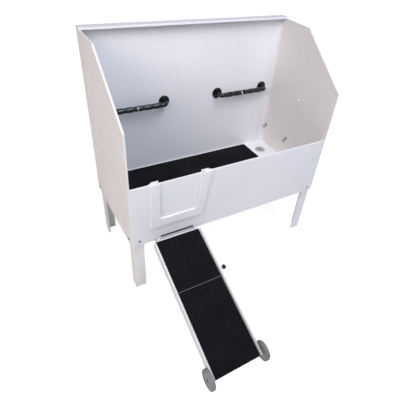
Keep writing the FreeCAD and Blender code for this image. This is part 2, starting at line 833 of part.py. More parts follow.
def hose_hook(label, depth):
    """A round wall plate with a wire hook that drops, turns out from the wall and rises to its tip."""
    wall = size("tub_length") - size("wall_sheet")
    sheet = size("hook_plate_sheet")
    centre = Vector(wall, depth, size("hook_height"))
    plate = Part.makeCylinder(size("hook_plate_radius"), sheet, centre, Vector(-1, 0, 0))
    rim = [edge for edge in plate.Edges if near(edge.BoundBox.XMax, wall - sheet)]
    plate = plate.makeFillet(sheet / 3, rim)
    for hand in (-1, 1):
        place = centre + Vector(0, hand * size("hook_screw_spacing") / 2, 0)
        plate = plate.cut(Part.makeCylinder(size("hook_screw_radius"), sheet, place, Vector(-1, 0, 0)))
    wire = size("hook_wire")
    reach = size("hook_reach")
    down = Vector(0, 0, -1)
    begin = centre - Vector(sheet + wire, 0, 0)
    turn = begin + down * size("hook_drop")
    far = turn - Vector(2 * reach, 0, 0)
    tip = far - down * size("hook_tip")
    section = Part.Face(Part.Wire(Part.makeCircle(wire, turn, down)))
    bend = section.revolve(turn - Vector(reach, 0, 0), Vector(0, 1, 0), 180)
    pieces = [
        Part.makeCylinder(wire, wire, begin, Vector(1, 0, 0)),
        Part.makeSphere(wire, begin),
        Part.makeCylinder(wire, size("hook_drop"), begin, down),
        bend,
        Part.makeCylinder(wire, size("hook_tip"), far, -down),
        Part.makeSphere(wire * 1.25, tip),
    ]
    return to_row_frame(made(label, plate.multiFuse(pieces)))


def hook_screws():
    wall = size("tub_length") - size("wall_sheet") - size("hook_plate_sheet")
    solids = []
    for depth in hook_depths():
        for hand in (-1, 1):
            seat = Vector(wall, depth + hand * size("hook_screw_spacing") / 2, size("hook_height"))
            solids.append(domed_screw(
                seat, Vector(1, 0, 0), size("hook_screw_head_radius"), size("hook_screw_radius"),
                size("hook_screw_radius"), size("hook_plate_sheet") + size("wall_sheet") - 2))
    return to_row_frame(made("hook_screws", Part.makeCompound(solids)))


# ---------------------------------------------------------------- drain

DRAIN_X = "dims.tub_length - dims.drain_from_right"
DRAIN_Y = "dims.tub_depth - dims.drain_from_back"
CUP_BOTTOM = "dims.floor_height - dims.drain_cup_depth"


def drain_body():
    item = body("drain_body")
    rod(item, "cup", (DRAIN_X, DRAIN_Y, CUP_BOTTOM), "z", "dims.drain_cup_radius",
        "dims.drain_cup_depth")
    rod(item, "flange", (DRAIN_X, DRAIN_Y, "dims.floor_height"), "z", "dims.drain_flange_radius",
        "dims.drain_flange_sheet")
    top = size("floor_height") + size("drain_flange_sheet")
    dress(item, "flange_rim", "Fillet", "dims.drain_flange_sheet * 0.7",
          lambda box: near(box.ZMin, top))
    rod(item, "cup_hollow", (DRAIN_X, DRAIN_Y, f"{CUP_BOTTOM} + dims.drain_cup_wall"), "z",
        "dims.drain_cup_radius - dims.drain_cup_wall", "dims.drain_cup_depth + 20", "Subtractive")
    rod(item, "outlet", (DRAIN_X, DRAIN_Y, f"{CUP_BOTTOM} - 1"), "z",
        "dims.tailpiece_radius - dims.tailpiece_wall", "dims.drain_cup_wall + 2", "Subtractive")
    return to_row_frame(item)


def drain_ring(label, bottom, height, outer, inner):
    item = body(label)
    rod(item, f"{label}_disc", (DRAIN_X, DRAIN_Y, bottom), "z", outer, height)
    rod(item, f"{label}_bore", (DRAIN_X, DRAIN_Y, f"{bottom} - 1"), "z", inner, f"{height} + 2",
        "Subtractive")
    return to_row_frame(item)


def drain_strainer():
    """A lift-out cup strainer with a perforated floor, hung by its rim in the drain cup."""
    item = body("drain_strainer")
    rim = "dims.floor_height + dims.drain_flange_sheet"
    wall = "dims.drain_cup_radius - dims.drain_cup_wall - dims.drain_fit"
    rod(item, "strainer_cup", (DRAIN_X, DRAIN_Y, f"{rim} - dims.strainer_depth"), "z", wall,
        "dims.strainer_depth")
    rod(item, "strainer_rim", (DRAIN_X, DRAIN_Y, rim), "z", f"{wall} + 5", "dims.strainer_sheet")
    rod(item, "strainer_hollow", (DRAIN_X, DRAIN_Y, f"{rim} - dims.strainer_depth + dims.strainer_sheet"),
        "z", f"{wall} - dims.strainer_sheet", "dims.strainer_depth + 10", "Subtractive")
    rings_of_holes = [(0, 1, 0), (0.5, 6, 0), (1, 12, 15)]
    for share, count, phase in rings_of_holes:
        for index in range(count):
            turn = math.radians(360 * index / count + phase)
            rod(item, f"strainer_hole_{count}_{index}", (
                f"{DRAIN_X} + {share * math.cos(turn):.9f} * dims.strainer_hole_circle",
                f"{DRAIN_Y} + {share * math.sin(turn):.9f} * dims.strainer_hole_circle",
                f"{rim} - dims.strainer_depth - 1"), "z", "dims.strainer_hole_radius",
                "dims.strainer_sheet + 2", "Subtractive")
    return to_row_frame(item)


# ---------------------------------------------------------------- ramp

HALF_INNER = "dims.ramp_inner_width / 2"
HALF_OUTER = "(dims.ramp_inner_width / 2 + dims.ramp_board)"
DECK_TOP = "-dims.ramp_mat_sheet"
SEAM = "dims.upper_length"
LOWER_START = "dims.upper_length + dims.seam_gap"


def run_block(item, name, x, width, start, end, bottom, height, kind="Additive"):
    """A box between two runs down the ramp."""
    return block(item, name, (x, f"-({end})", bottom), (width, f"({end}) - ({start})", height), kind)


def deck(label, start, end, tongue=False):
    item = body(label)
    run_block(item, f"{label}_sheet", f"-{HALF_INNER}", "dims.ramp_inner_width", start, end,
              f"{DECK_TOP} - dims.deck_sheet", "dims.deck_sheet")
    if tongue:
        run_block(item, f"{label}_tongue", "-dims.tongue_width / 2", "dims.tongue_width",
                  "dims.tongue_start", start, f"{DECK_TOP} - dims.deck_sheet", "dims.deck_sheet")
    return to_ramp_frame(item)


def side_board(label, hand, start, end, round_end):
    """A side board whose top stands above the mat as a curb, rounded at its free end."""
    item = body(label)
    x = HALF_INNER if hand > 0 else f"-{HALF_OUTER}"
    run_block(item, f"{label}_sheet", x, "dims.ramp_board", start, end, "-dims.board_below",
              "dims.board_above + dims.board_below")
    free_end = -size(round_end)
    top = size("board_above")
    dress(item, f"{label}_round", "Fillet", "dims.board_round",
          lambda box: near(box.YMin, free_end) and near(box.YMax, free_end) and near(box.ZMin, top))
    dress(item, f"{label}_edges", "Fillet", "dims.edge_round",
          lambda box: near(box.ZMin, top) and box.YLength > 50)
    return item


def ramp_mat(label, start, end):
    item = body(label)
    run_block(item, f"{label}_sheet", f"-{HALF_INNER} + dims.ramp_mat_margin",
              "dims.ramp_inner_width - 2 * dims.ramp_mat_margin", start, end, DECK_TOP,
              "dims.ramp_mat_sheet")
    return to_ramp_frame(item)


def seam_trim():
    """An aluminium strip that finishes the upper deck's edge at the fold."""
    item = body("seam_trim")
    run_block(item, "trim_strip", f"-{HALF_INNER} + dims.ramp_mat_margin",
              "dims.ramp_inner_width - 2 * dims.ramp_mat_margin", f"{SEAM} - dims.trim_width", SEAM,
              DECK_TOP, "dims.ramp_mat_sheet + dims.trim_height")
    return to_ramp_frame(item)


def upper_boards():
    items = []
    for label, hand in (("upper_left_board", -1), ("upper_right_board", 1)):
        item = side_board(label, hand, "dims.board_start", SEAM, "board_start")
        if hand > 0:
            rod(item, "plunger_hole", (HALF_INNER, "-dims.plunger_run", "-dims.plunger_drop"), "x",
                "dims.plunger_pin_radius + dims.seat_gap", "dims.ramp_board", "Subtractive")
        items.append(to_ramp_frame(item))
    return items


def lower_boards():
    items = []
    for label, hand in (("lower_left_board", -1), ("lower_right_board", 1)):
        item = side_board(label, hand, LOWER_START, "dims.ramp_length", "ramp_length")
        x = f"{HALF_OUTER} - dims.axle_depth" if hand > 0 else f"-{HALF_OUTER}"
        rod(item, f"{label}_axle_hole", (x, "-dims.axle_run", "-dims.axle_drop"), "x",
            "dims.axle_radius", "dims.axle_depth", "Subtractive")
        items.append(to_ramp_frame(item))
    return items


def head_lugs():
    """Angle lugs under the upper deck that swing on the head pin."""
    lugs = []
    for hand in (-1, 1):
        inner = hand * size("lug_offset")
        outer = hand * (size("lug_offset") + size("lug_sheet"))
        low_x, high_x = sorted((inner, outer))
        under = -size("ramp_mat_sheet") - size("deck_sheet")
        axis = Vector(low_x, size("head_axis_run"), -size("head_axis_drop"))
        radius = size("lug_radius")
        ear = Part.makeCylinder(radius, high_x - low_x, axis, Vector(1, 0, 0))
        depth = radius + size("head_axis_drop") + under
        web = Part.makeBox(high_x - low_x, size("lug_length") + size("head_axis_run"), depth,
                           Vector(low_x, -size("lug_length"), under - depth))
        leaf_low = min(outer, outer - hand * size("lug_leaf_width"))
        leaf = Part.makeBox(size("lug_leaf_width"), size("lug_length") - 5, size("lug_leaf_sheet"),
                            Vector(leaf_low, -size("lug_length"), under - size("lug_leaf_sheet")))
        lug = ear.fuse([web, leaf])
        bore = Part.makeCylinder(size("head_pin_radius") + size("pin_fit"), high_x - low_x, axis,
                                 Vector(1, 0, 0))
        lugs.append(lug.cut(bore).removeSplitter())
    return to_ramp_frame(made("head_lugs", Part.makeCompound(lugs)))


def head_axis():
    """The head hinge's axis, in tub coordinates."""
    turn = Rotation(Vector(1, 0, 0), size("ramp_slope"))
    local = Vector(0, size("head_axis_run"), -size("head_axis_drop"))
    return turn.multVec(local) + Vector(size("ramp_centre"), 0, size("ramp_top_height"))


def bracket_top():
    return size("floor_height") - size("floor_sheet") - size("bracket_below_floor")


def head_bracket():
    """A plate behind the front panel, across the slot, with two ears that carry the head pin."""
    axis = head_axis()
    panel = size("wall_sheet")
    radius = size("lug_radius")
    width = size("lug_sheet")
    bottom = size("front_skirt") + 2
    tall = bracket_top() - bottom
    half = size("lug_offset") - size("bracket_gap") + size("bracket_wing")
    plate = Part.makeBox(2 * half, size("bracket_sheet"), tall, Vector(axis.x - half, panel, bottom))
    for x, z in bracket_screw_places():
        plate = plate.cut(Part.makeCylinder(size("screw_radius"), size("bracket_sheet"),
                                            Vector(x, panel, z), Vector(0, 1, 0)))
    pieces = []
    bores = []
    for hand in (-1, 1):
        face = axis.x + hand * (size("lug_offset") - size("bracket_gap"))
        low_x = min(face, face - hand * width)
        start = Vector(low_x, axis.y, axis.z)
        ear = Part.makeCylinder(radius, width, start, Vector(1, 0, 0))
        web = Part.makeBox(width, axis.y + radius - panel, bracket_top() - axis.z,
                           Vector(low_x, panel, axis.z))
        pieces.extend([ear, web])
        bores.append(Part.makeCylinder(size("head_pin_radius"), width, start, Vector(1, 0, 0)))
        bores.append(Part.makeBox(width, panel + size("bracket_sheet"), bottom - axis.z + radius,
                                  Vector(low_x, 0, axis.z - radius)))
    return to_row_frame(made("head_bracket", plate.multiFuse(pieces).cut(bores).removeSplitter()))


def bracket_screw_places():
    """Screws of the bracket plate, above the slot, in tub coordinates."""
    half = size("lug_offset") - size("bracket_gap") + size("bracket_wing") / 2
    centre = size("ramp_centre")
    low = size("slot_bottom") + size("slot_height") + 12
    high = bracket_top() - 12
    return [(centre + hand * half, z) for hand in (-1, 1) for z in (low, high)]


def head_pin():
    axis = head_axis()
    half = size("lug_offset") + size("lug_sheet") + 2
    start = Vector(axis.x - half, axis.y, axis.z)
    pin = Part.makeCylinder(size("head_pin_radius"), 2 * half, start, Vector(1, 0, 0))
    heads = [Part.makeCylinder(size("head_pin_radius") + 3, 3, start - Vector(3, 0, 0), Vector(1, 0, 0)),
             Part.makeCylinder(size("head_pin_radius") + 3, 3, start + Vector(2 * half, 0, 0),
                               Vector(1, 0, 0))]
    return to_row_frame(made("head_pin", pin.multiFuse(heads).removeSplitter()))


def fold_hinges():
    """Butt hinges under the board ends: a leaf and outer knuckles above, a middle knuckle below."""
    upper, lower, pins = [], [], []
    radius = size("fold_knuckle_radius")
    sheet = size("fold_leaf_sheet")
    width = size("ramp_board")
    seam = size("upper_length") + size("seam_gap") / 2
    floor = -size("board_below")
    for hand in (-1, 1):
        low_x = min(hand * size("ramp_inner_width") / 2, hand * (size("ramp_inner_width") / 2 + width))
        axis = Vector(low_x, -seam, floor - radius)
        third = width / 3
        play = size("fold_play")
        spans = {"upper": [(0, third - play), (2 * third + play, width)], "lower": [(third, 2 * third)]}
        for owner, way, store in (("upper", 1, upper), ("lower", -1, lower)):
            leaf_start = -seam + way * (radius + play) if way > 0 else -seam - radius - play
            length = size("fold_leaf_length")
            origin = leaf_start if way > 0 else leaf_start - length
            leaf = Part.makeBox(width, length, sheet, Vector(low_x, origin, floor - sheet))
            pieces = [leaf]
            for begin, end in spans[owner]:
                barrel = Part.makeCylinder(radius, end - begin, axis + Vector(begin, 0, 0),
                                           Vector(1, 0, 0))
                web_low = min(-seam, -seam + way * (radius + play + 1))
                web = Part.makeBox(end - begin, radius + play + 1, sheet,
                                   Vector(low_x + begin, web_low, floor - sheet))
                pieces.extend([barrel, web])
            solid = pieces[0].multiFuse(pieces[1:])
            bore = Part.makeCylinder(size("fold_pin_radius") + size("pin_fit"), width, axis,
                                     Vector(1, 0, 0))
            store.append(solid.cut(bore).removeSplitter())
        pins.append(Part.makeCylinder(size("fold_pin_radius"), width, axis, Vector(1, 0, 0)))
    return [to_ramp_frame(made(label, Part.makeCompound(solids))) for label, solids in (
        ("upper_fold_leaves", upper), ("lower_fold_leaves", lower), ("fold_pins", pins))]


# ---------------------------------------------------------------- plunger

def plunger_pieces():
    """Lock plate on the lower right board, with a plunger aimed at the hole in the upper one."""
    board = size("ramp_inner_width") / 2 + size("ramp_board")
    play = size("seat_gap")
    sheet = size("lock_plate_sheet")
    run, drop = -size("plunger_run"), -size("plunger_drop")
    tall = size("lock_plate_height")
    head = run + tall / 2
    foot = -(size("upper_length") + size("seam_gap") + size("lock_plate_overlap"))
    outer = board + play + sheet
    plate = Part.makeBox(sheet, head - foot, tall, Vector(board + play, foot, drop - tall / 2))
    corners = [edge for edge in plate.Edges if edge.BoundBox.XLength > 1]
    plate = plate.makeFillet(tall / 3, corners)
    spacer_start = -(size("upper_length") + size("seam_gap") + 2)
    spacer = Part.makeBox(play, spacer_start - foot - tall / 2, tall / 2,
                          Vector(board, foot + tall / 2, drop - tall / 4))
    x_axis = Vector(1, 0, 0)
    pin_radius = size("plunger_pin_radius")
    hole = Part.makeCylinder(pin_radius + play, sheet + play, Vector(board, run, drop), x_axis)
    plate = plate.fuse(spacer).cut(hole).removeSplitter()

    housing = Part.makeCylinder(size("plunger_body_radius"), size("plunger_body_length"),
                                Vector(outer, run, drop), x_axis)
    nut = hexagon(Vector(outer, run, drop), x_axis, size("plunger_body_radius") + 3, 5)
    bore = Part.makeCylinder(pin_radius + size("pin_fit"), size("plunger_body_length"),
                             Vector(outer, run, drop), x_axis)
    housing = housing.fuse(nut).cut(bore).removeSplitter()

    tip = board + play
    knob_start = outer + size("plunger_body_length") + size("plunger_travel") + play
    pin = Part.makeCylinder(pin_radius, knob_start - tip, Vector(tip, run, drop), x_axis)

    radius, length = size("plunger_knob_radius"), size("plunger_knob_length")
    base = Vector(knob_start, run, drop)
    skirt = 4
    centre_run = (length ** 2 - skirt ** 2 - radius ** 2) / (2 * (length - skirt))
    dome = (length - centre_run) * math.sqrt(0.5)
    rim = base + Vector(skirt, 0, radius)
    profile = [
        Part.LineSegment(base, base + Vector(0, 0, radius - 2)).toShape(),
        Part.LineSegment(base + Vector(0, 0, radius - 2), base + Vector(2, 0, radius)).toShape(),
        Part.LineSegment(base + Vector(2, 0, radius), rim).toShape(),
        Part.Arc(rim, base + Vector(centre_run + dome, 0, dome), base + Vector(length, 0, 0)).toShape(),
        Part.LineSegment(base + Vector(length, 0, 0), base).toShape(),
    ]
    knob = Part.Face(Part.Wire(profile)).revolve(base, x_axis, 360)
    return [to_ramp_frame(made(label, shape)) for label, shape in (
        ("lock_plate", plate), ("plunger_housing", housing), ("plunger_pin", pin),
        ("plunger_knob", knob))]


# ---------------------------------------------------------------- wheels

def wheel_pieces(side_name, hand):
    """Stub axle, hub and tyre of one ramp wheel."""
    board = size("ramp_inner_width") / 2 + size("ramp_board")
    run, drop = -size("axle_run"), -size("axle_drop")
    out = Vector(hand, 0, 0)

    def at(distance):
        return Vector(hand * distance, run, drop)

    radius = size("axle_radius")
    gap = size("running_gap")
    hub_start = board + size("wheel_gap")
    width = size("wheel_width")
    cap_start = hub_start + width + gap
    axle = Part.makeCylinder(radius, cap_start - board + size("axle_depth"),
                             at(board - size("axle_depth")), out)
    collar = Part.makeCylinder(size("axle_collar_radius"), size("wheel_gap") - gap, at(board), out)
    cap = Part.makeCylinder(size("axle_cap_radius"), size("axle_cap_height"), at(cap_start), out)
    crown = [edge for edge in cap.Edges
             if near(abs(edge.BoundBox.Center.x), cap_start + size("axle_cap_height"))]
    cap = cap.makeFillet(size("axle_cap_height") * 0.6, crown)
    axle = axle.multiFuse([collar, cap]).removeSplitter()

    tyre_inner = size("wheel_radius") - size("tyre_depth")
    tyre = Part.makeCylinder(size("wheel_radius"), width, at(hub_start), out)
    tyre = tyre.makeFillet(size("tyre_round"), [edge for edge in tyre.Edges if len(edge.Vertexes) == 1])
    tyre = tyre.cut(Part.makeCylinder(tyre_inner, width, at(hub_start), out))

    web = size("hub_web")
    boss = size("hub_boss_width")
    middle = hub_start + width / 2
    hub = Part.makeCylinder(tyre_inner, web, at(middle - web / 2), out)
    hub = hub.fuse(Part.makeCylinder(size("hub_boss_radius"), width, at(hub_start), out))
    rim = Part.makeCylinder(tyre_inner, boss, at(middle - boss / 2), out)
    rim = rim.cut(Part.makeCylinder(tyre_inner - 4, boss, at(middle - boss / 2), out))
    bore = Part.makeCylinder(radius + size("pin_fit"), width, at(hub_start), out)
    hub = hub.fuse(rim).cut(bore).removeSplitter()
    return [to_ramp_frame(made(f"{side_name}_{name}", shape)) for name, shape in (
        ("stub_axle", axle), ("wheel_hub", hub), ("tyre", tyre))]


# ---------------------------------------------------------------- assembly

def build():
    items = [
        front_panel(),
        side_panel("left_side_panel", "0", False),
        side_panel("right_side_panel", RIGHT_INNER, True),
        back_panel(),
        floor_pan(),
        floor_bearers(),
        basin_coves(),
        leg("front_left_leg", False, False),
        leg("front_right_leg", True, False),
        leg("rear_left_leg", False, True),
        leg("rear_right_leg", True, True),
        leg_bolts(),
        leg_nuts(),
        door_frame(),
        door_keeper(),
        door_rail_caps(),
        door_seal(),
        door_gate(),
        door_frame_screws(),
        floor_mat(),
        grab_bar("left_grab_bar", -1),
        grab_bar("right_grab_bar", 1),
        bar_flanges("left_bar_flanges", -1),
        bar_flanges("right_bar_flanges", 1),
        flange_screws(),
        tether_ring("left_tether_ring", -1, size("left_ring_offset")),
        tether_ring("right_tether_ring", 1, size("right_ring_offset")),
        hose_hook("front_hose_hook", hook_depths()[0]),
        hose_hook("rear_hose_hook", hook_depths()[1]),
        hook_screws(),
        drain_body(),
        drain_ring("drain_gasket", f"{FLOOR_UNDER} - dims.drain_gasket_sheet",
                   "dims.drain_gasket_sheet", "dims.drain_flange_radius",
                   "dims.drain_cup_radius + dims.drain_fit"),
        drain_ring("drain_locknut", f"{FLOOR_UNDER} - dims.drain_gasket_sheet - dims.locknut_height",
                   "dims.locknut_height", "dims.locknut_radius",
                   "dims.drain_cup_radius + dims.pin_fit"),
        drain_ring("drain_tailpiece", f"{CUP_BOTTOM} - dims.tailpiece_length",
                   "dims.tailpiece_length", "dims.tailpiece_radius",
                   "dims.tailpiece_radius - dims.tailpiece_wall"),
        drain_strainer(),
        head_bracket(),
        head_pin(),
        head_lugs(),
        deck("upper_deck", "dims.deck_start", SEAM, True),
        ramp_mat("upper_mat", "dims.ramp_mat_start", f"{SEAM} - dims.trim_width"),
        seam_trim(),
        deck("lower_deck", LOWER_START, "dims.ramp_length"),
        ramp_mat("lower_mat", LOWER_START, "dims.ramp_length - dims.ramp_mat_margin"),
    ]
    items.extend(upper_boards())
    items.extend(lower_boards())
    items.extend(fold_hinges())
    items.extend(plunger_pieces())
    items.extend(wheel_pieces("left", -1))
    items.extend(wheel_pieces("right", 1))
    return items


def check(items):
    """Stops the build if any object failed or any sub-part is not a sound shape."""
    for item in doc.Objects:
        if "Invalid" in item.State or "Error" in item.State:
            raise RuntimeError(f"{item.Label}: {item.State}")
    for item in items:
        if item.Shape.isNull() or not item.Shape.isValid() or not item.Shape.Solids:
            raise RuntimeError(f"{item.Label}: no sound solid")


parts = build()
doc.recompute()
check(parts)
os.makedirs("parts", exist_ok=True)
for part in parts:
    part.Shape.exportStep(os.path.join("parts", f"{part.Label}.step"))
print(len(parts), "sub-parts written")
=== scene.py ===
"""Looks of the pet bathtub: materials, modelled detail, camera and studio.  Metres, row frame."""

import math

import bmesh
import bpy
from mathutils import Matrix, Vector


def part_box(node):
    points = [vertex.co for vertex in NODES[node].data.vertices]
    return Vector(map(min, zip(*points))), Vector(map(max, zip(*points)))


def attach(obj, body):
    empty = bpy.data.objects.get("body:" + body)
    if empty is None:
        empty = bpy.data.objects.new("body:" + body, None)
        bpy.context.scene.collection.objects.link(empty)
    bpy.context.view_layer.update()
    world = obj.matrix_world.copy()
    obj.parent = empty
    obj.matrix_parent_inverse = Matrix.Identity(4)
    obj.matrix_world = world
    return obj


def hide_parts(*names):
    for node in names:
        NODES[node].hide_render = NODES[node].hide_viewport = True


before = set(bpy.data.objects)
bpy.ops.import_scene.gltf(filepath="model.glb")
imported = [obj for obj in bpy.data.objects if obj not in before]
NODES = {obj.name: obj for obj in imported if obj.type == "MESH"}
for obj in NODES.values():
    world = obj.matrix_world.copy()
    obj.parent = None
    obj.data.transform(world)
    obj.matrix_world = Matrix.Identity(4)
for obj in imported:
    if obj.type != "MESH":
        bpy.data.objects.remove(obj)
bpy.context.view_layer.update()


# ---------------------------------------------------------------- materials

MATERIALS = {}


def new_material(name, colour, roughness, metallic=0.0, specular=0.5, coat=0.0):
    """A material with its constants on the shader's own sockets."""
    material = bpy.data.materials.new(name)
    MATERIALS[name] = material
    material.use_nodes = True
    shader = material.node_tree.nodes["Principled BSDF"]
    shader.inputs["Base Color"].default_value = (*colour, 1)
    shader.inputs["Roughness"].default_value = roughness
    shader.inputs["Metallic"].default_value = metallic
    shader.inputs["Specular IOR Level"].default_value = specular
    shader.inputs["Coat Weight"].default_value = coat
    return material


class Paint:
    """Adds procedural colour, roughness and relief to a material, in row-frame coordinates."""

    def __init__(self, material):
        self.tree = material.node_tree
        self.shader = self.tree.nodes["Principled BSDF"]
        self.place = self.tree.nodes.new("ShaderNodeTexCoord").outputs["Object"]
        self.relief = None

    def link(self, output, socket):
        self.tree.links.new(output, socket)

    def stretched(self, scale):
        mapping = self.tree.nodes.new("ShaderNodeMapping")
        mapping.inputs["Scale"].default_value = scale
        self.link(self.place, mapping.inputs["Vector"])
        return mapping.outputs["Vector"]

    def noise(self, scale, detail=2.0, stretch=None, distortion=0.0):
        node = self.tree.nodes.new("ShaderNodeTexNoise")
        node.inputs["Scale"].default_value = scale
        node.inputs["Detail"].default_value = detail
        node.inputs["Distortion"].default_value = distortion
        self.link(self.stretched(stretch) if stretch else self.place, node.inputs["Vector"])
        return node.outputs["Fac"]

    def cells(self, scale):
        node = self.tree.nodes.new("ShaderNodeTexVoronoi")
        node.inputs["Scale"].default_value = scale
        self.link(self.place, node.inputs["Vector"])
        return node.outputs["Distance"]

    def ramp(self, factor, stops):
        node = self.tree.nodes.new("ShaderNodeValToRGB")
        while len(node.color_ramp.elements) < len(stops):
            node.color_ramp.elements.new(0.5)
        for element, (position, colour) in zip(node.color_ramp.elements, stops):
            element.position = position
            element.color = (*colour, 1)
        self.link(factor, node.inputs["Fac"])
        return node.outputs["Color"]

    def spread(self, factor, low, high):
        """Carries the middle of a noise's range to low..high."""
        node = self.tree.nodes.new("ShaderNodeMapRange")
        node.inputs["From Min"].default_value = 0.3
        node.inputs["From Max"].default_value = 0.7
        node.inputs["To Min"].default_value = low
        node.inputs["To Max"].default_value = high
        self.link(factor, node.inputs["Value"])
        return node.outputs["Result"]

    def colour(self, output):
        self.link(output, self.shader.inputs["Base Color"])

    def roughness(self, output):
        self.link(output, self.shader.inputs["Roughness"])

    def multiplied(self, first, second):
        node = self.tree.nodes.new("ShaderNodeMix")
        node.data_type = "RGBA"
        node.blend_type = "MULTIPLY"
        node.inputs["Factor"].default_value = 1
        self.link(first, node.inputs[6])
        self.link(second, node.inputs[7])
        return node.outputs[2]

    def bump(self, height, strength, distance):
        node = self.tree.nodes.new("ShaderNodeBump")
        node.inputs["Strength"].default_value = strength
        node.inputs["Distance"].default_value = distance
        self.link(height, node.inputs["Height"])
        if self.relief:
            self.link(self.relief, node.inputs["Normal"])
        self.relief = node.outputs["Normal"]
        self.link(self.relief, self.shader.inputs["Normal"])


def shade(colour, factor):
    return tuple(min(1, channel * factor) for channel in colour)


def sheet_plastic(name, colour, roughness=0.42, stretch=(1, 1, 1), grain=0.95):
    """Pale plastic sheet: faint clouding, hair-fine scuffs, a grain and an orange-peel skin."""
    paint = Paint(new_material(name, colour, roughness, specular=0.4))
    clouds = paint.ramp(paint.noise(2.3, 3),
                        [(0.25, shade(colour, 0.965)), (0.75, shade(colour, 1.02))])
    flecks = paint.ramp(paint.noise(120, 2), [(0.32, (grain,) * 3), (0.68, (1, 1, 1))])
    paint.colour(paint.multiplied(clouds, flecks))
    scuffs = paint.noise(9, 6, stretch=tuple(6 * value for value in stretch), distortion=1.5)
    paint.roughness(paint.spread(scuffs, roughness - 0.08, roughness + 0.1))
    paint.bump(paint.noise(420, 2), 0.10, 0.0006)
    paint.bump(paint.noise(14, 2), 0.12, 0.002)


def rubber(name, colour, roughness, grain, relief, depth, specular=0.08):
    """Rubber with a pebbled skin."""
    paint = Paint(new_material(name, colour, roughness, specular=specular))
    patches = paint.noise(6, 5)
    paint.colour(paint.ramp(patches, [(0.3, shade(colour, 0.8)), (0.7, shade(colour, 1.3))]))
    paint.roughness(paint.spread(paint.noise(30, 4), roughness - 0.08, roughness + 0.08))
    paint.bump(paint.cells(grain), relief, depth)
    paint.bump(paint.noise(grain * 3, 2), relief * 0.5, depth * 0.4)


def gloss_black(name, colour):
    """Gloss black coating with a faint orange peel and dust."""
    paint = Paint(new_material(name, colour, 0.18, specular=0.4, coat=0.25))
    paint.colour(paint.ramp(paint.noise(60, 4), [(0.35, colour), (0.8, shade(colour, 1.5))]))
    paint.roughness(paint.spread(paint.noise(45, 4), 0.13, 0.24))
    paint.bump(paint.noise(260, 2), 0.12, 0.0004)


def metal(name, colour, roughness, grain=(1, 1, 40), painted=False):
    """Brushed or bead-blasted metal, or metal under a satin paint."""
    paint = Paint(new_material(name, colour, roughness, 0.0 if painted else 1.0))
    lines = paint.noise(90, 5, stretch=grain)
    paint.colour(paint.ramp(lines, [(0.3, shade(colour, 0.86)), (0.7, shade(colour, 1.08))]))
    paint.roughness(paint.spread(lines, roughness - 0.07, roughness + 0.09))
    paint.bump(lines, 0.12, 0.0003)


def moulded(name, colour):
    """Moulded plastic with a spark-eroded texture and slight clouding."""
    paint = Paint(new_material(name, colour, 0.5, specular=0.35))
    patches = paint.noise(25, 5)
    paint.colour(paint.ramp(patches, [(0.3, shade(colour, 0.9)), (0.7, shade(colour, 1.08))]))
    paint.roughness(paint.spread(paint.noise(80, 3), 0.43, 0.58))
    paint.bump(paint.noise(900, 2), 0.2, 0.0003)


sheet_plastic("sheet_front", (0.82, 0.815, 0.82))
sheet_plastic("sheet_inside", (0.84, 0.835, 0.84), grain=0.92)
# Side panels: the same pale sheet tinted warmer and a touch darker, painted warm side light and
# shade.
sheet_plastic("sheet_side_painted_light", (0.81, 0.79, 0.78), grain=0.93)
sheet_plastic("sheet_door", (0.82, 0.815, 0.82), 0.38)
sheet_plastic("sheet_leg", (0.80, 0.795, 0.785), 0.45, (1, 1, 0.2))
sheet_plastic("sheet_ramp", (0.72, 0.715, 0.71), 0.42, (1, 0.2, 1))
# A greyer copy of the ramp sheet for the right boards only: painted shade on their lit faces.
sheet_plastic("sheet_ramp_painted_shade", (0.58, 0.575, 0.56), 0.6, (1, 0.2, 1))
rubber("mat_rubber", (0.0125, 0.0135, 0.0145), 0.9, 520, 0.3, 0.0008, 0.0)
rubber("ramp_rubber", (0.006, 0.0063, 0.0075), 0.72, 640, 0.3, 0.0007)
rubber("seal_rubber", (0.03, 0.03, 0.03), 0.6, 900, 0.2, 0.0004)
# Bluish near-black for the slot strip: painted shade, the colour of the slot's dark opening.
rubber("painted_slot_shade", (0.050, 0.060, 0.077), 0.8, 900, 0.2, 0.0004)
rubber("tyre_rubber", (0.225, 0.225, 0.225), 0.6, 420, 0.15, 0.0005)
moulded("hub_plastic", (0.225, 0.221, 0.219))
moulded("pipe_plastic", (0.30, 0.30, 0.31))
gloss_black("bar_black", (0.006, 0.006, 0.0065))
rubber("knob_black", (0.009, 0.009, 0.010), 0.5, 900, 0.1, 0.0002, 0.25)
metal("ring_steel", (0.72, 0.72, 0.73), 0.25, (40, 1, 1))
metal("brushed_steel", (0.56, 0.56, 0.56), 0.36)
metal("drain_steel", (0.62, 0.615, 0.60), 0.55, (12, 12, 1))
metal("trim_aluminium", (0.20, 0.205, 0.215), 0.75, (1, 40, 40), painted=True)
metal("painted_lug", (0.62, 0.63, 0.65), 0.5, painted=True)
metal("axle_paint", (0.18, 0.17, 0.165), 0.6, painted=True)
metal("dark_bolt", (0.05, 0.05, 0.055), 0.4, painted=True)
# Bluish dark grey for the head bracket behind the slot: painted shade for the slot it backs.
metal("bracket_painted_shade", (0.085, 0.09, 0.10), 0.5, painted=True)
metal("hook_grey", (0.30, 0.30, 0.305), 0.40)
metal("hook_bolt", (0.22, 0.22, 0.22), 0.45)

